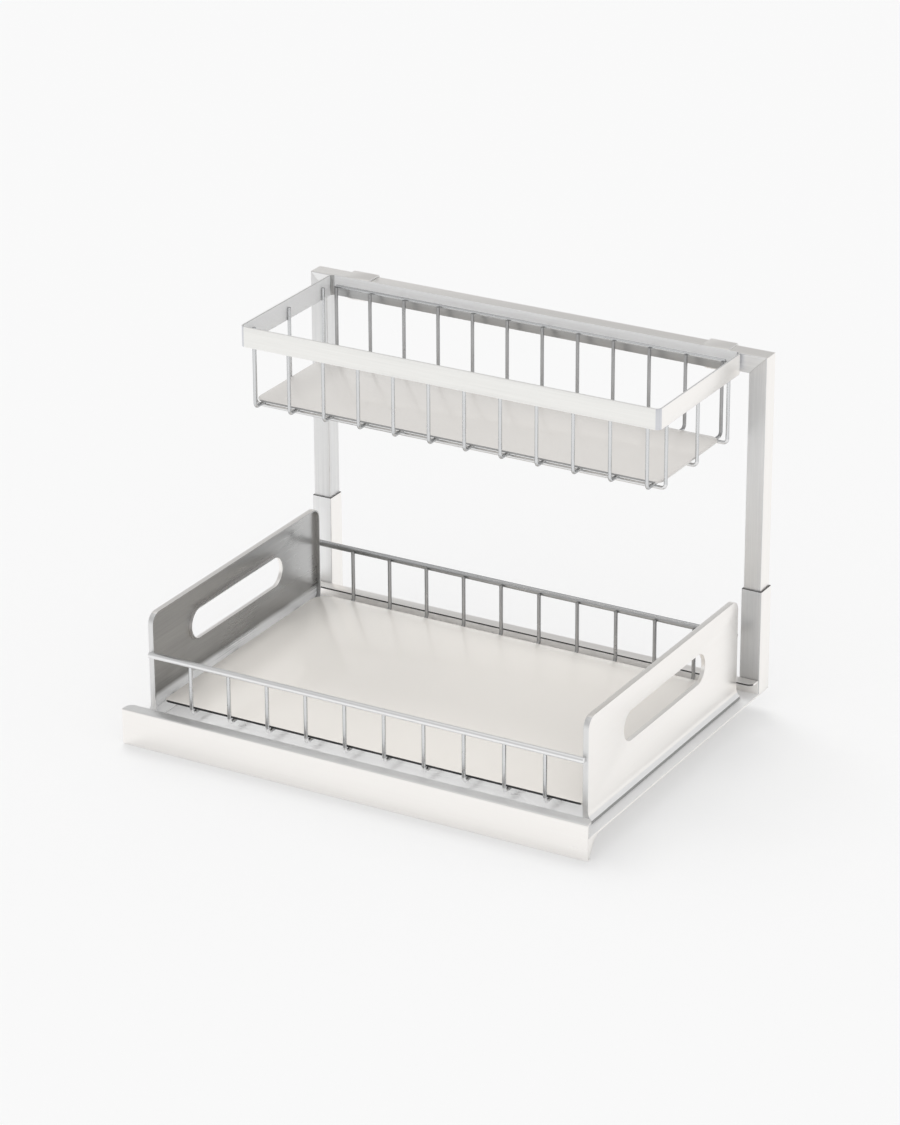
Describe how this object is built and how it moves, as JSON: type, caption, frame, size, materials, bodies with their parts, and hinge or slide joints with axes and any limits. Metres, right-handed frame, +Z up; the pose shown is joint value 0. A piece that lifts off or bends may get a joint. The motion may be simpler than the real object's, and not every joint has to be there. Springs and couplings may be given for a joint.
{
  "type": "pull out cabinet basket",
  "caption": "Two-tier pull-out cabinet basket: a sheet tray on ball-bearing slides, a lift-out basket with handle panels and a hook-on wire basket above.",
  "frame": {"origin": "centre of the footprint at the underside of the rubber pads", "axes": "+X right, +Y to the back of the cabinet, +Z up; the fascia faces -Y"},
  "size_m": [0.4, 0.2974, 0.2956],
  "materials": {
    "satin_steel": "fine brushed stainless sheet",
    "bright_wire": "polished stainless wire",
    "zinc_steel": "zinc-plated, dull",
    "ball_steel": "polished bearing balls",
    "mat_plastic": "smooth, glossy, warm light grey",
    "dark_plastic": "moulded, matt",
    "black_rubber": "matt"
  },
  "bodies": {
    "floor_frame": {"rubber_pads": "black_rubber", "front_tie": "zinc_steel", "rear_tie": "zinc_steel", "outer_slide_left": "zinc_steel", "outer_slide_right": "zinc_steel", "tie_rivets": "zinc_steel", "slide_bumpers": "black_rubber"},
    "outer_cage_left": {"outer_cage_left": "zinc_steel", "outer_balls_left": "ball_steel"},
    "outer_cage_right": {"outer_cage_right": "zinc_steel", "outer_balls_right": "ball_steel"},
    "middle_left": {"middle_slide_left": "zinc_steel"},
    "middle_right": {"middle_slide_right": "zinc_steel"},
    "inner_cage_left": {"inner_cage_left": "zinc_steel", "inner_balls_left": "ball_steel"},
    "inner_cage_right": {"inner_cage_right": "zinc_steel", "inner_balls_right": "ball_steel"},
    "tray": {"inner_slide_left": "zinc_steel", "inner_slide_right": "zinc_steel", "tray_rivets": "zinc_steel", "tray_pan": "satin_steel", "front_fascia": "satin_steel", "gusset_left": "satin_steel", "gusset_right": "satin_steel", "post_sleeve_left": "satin_steel", "post_sleeve_right": "satin_steel", "foot_block_left": "dark_plastic", "foot_block_right": "dark_plastic", "foot_screws": "zinc_steel"},
    "lower_basket": {"side_panel_left": "satin_steel", "side_panel_right": "satin_steel", "front_rail": "bright_wire", "rear_rail": "bright_wire", "floor_rods": "bright_wire", "lower_cross_wires": "bright_wire"},
    "lower_mat": {"lower_mat": "mat_plastic"},
    "upper_frame": {"post_left": "satin_steel", "post_right": "satin_steel", "crossbar": "satin_steel"},
    "upper_basket": {"upper_rim": "satin_steel", "upper_cross_wires": "bright_wire", "upper_long_wires": "bright_wire", "back_top_wire": "bright_wire", "hook_left": "satin_steel", "hook_right": "satin_steel"},
    "upper_mat": {"upper_mat": "mat_plastic"}
  },
  "joints": [
    {"name": "tray_slide", "type": "slide", "parent": "floor_frame", "child": "tray", "axis": [0, -1, 0], "range_m": [0, 0.24]},
    {"name": "outer_cage_left_slide", "type": "slide", "parent": "floor_frame", "child": "outer_cage_left", "axis": [0, -1, 0], "range_m": [0, 0.06]},
    {"name": "middle_left_slide", "type": "slide", "parent": "floor_frame", "child": "middle_left", "axis": [0, -1, 0], "range_m": [0, 0.12]},
    {"name": "inner_cage_left_slide", "type": "slide", "parent": "floor_frame", "child": "inner_cage_left", "axis": [0, -1, 0], "range_m": [0, 0.18]},
    {"name": "outer_cage_right_slide", "type": "slide", "parent": "floor_frame", "child": "outer_cage_right", "axis": [0, -1, 0], "range_m": [0, 0.06]},
    {"name": "middle_right_slide", "type": "slide", "parent": "floor_frame", "child": "middle_right", "axis": [0, -1, 0], "range_m": [0, 0.12]},
    {"name": "inner_cage_right_slide", "type": "slide", "parent": "floor_frame", "child": "inner_cage_right", "axis": [0, -1, 0], "range_m": [0, 0.18]},
    {"name": "lower_basket_lift", "type": "slide", "parent": "tray", "child": "lower_basket", "axis": [0, 0, 1], "range_m": [0, 0.1]},
    {"name": "lower_mat_lift", "type": "slide", "parent": "lower_basket", "child": "lower_mat", "axis": [0, 0, 1], "range_m": [0, 0.06]},
    {"name": "upper_frame_lift", "type": "slide", "parent": "tray", "child": "upper_frame", "axis": [0, 0, 1], "range_m": [0, 0.07]},
    {"name": "upper_basket_lift", "type": "slide", "parent": "upper_frame", "child": "upper_basket", "axis": [0, 0, 1], "range_m": [0, 0.03]},
    {"name": "upper_mat_lift", "type": "slide", "parent": "upper_basket", "child": "upper_mat", "axis": [0, 0, 1], "range_m": [0, 0.06]}
  ],
  "couplings": [
    {"joint": "outer_cage_left_slide", "follows": "tray_slide", "ratio": 0.25},
    {"joint": "middle_left_slide", "follows": "tray_slide", "ratio": 0.5},
    {"joint": "inner_cage_left_slide", "follows": "tray_slide", "ratio": 0.75},
    {"joint": "outer_cage_right_slide", "follows": "tray_slide", "ratio": 0.25},
    {"joint": "middle_right_slide", "follows": "tray_slide", "ratio": 0.5},
    {"joint": "inner_cage_right_slide", "follows": "tray_slide", "ratio": 0.75}
  ]
}
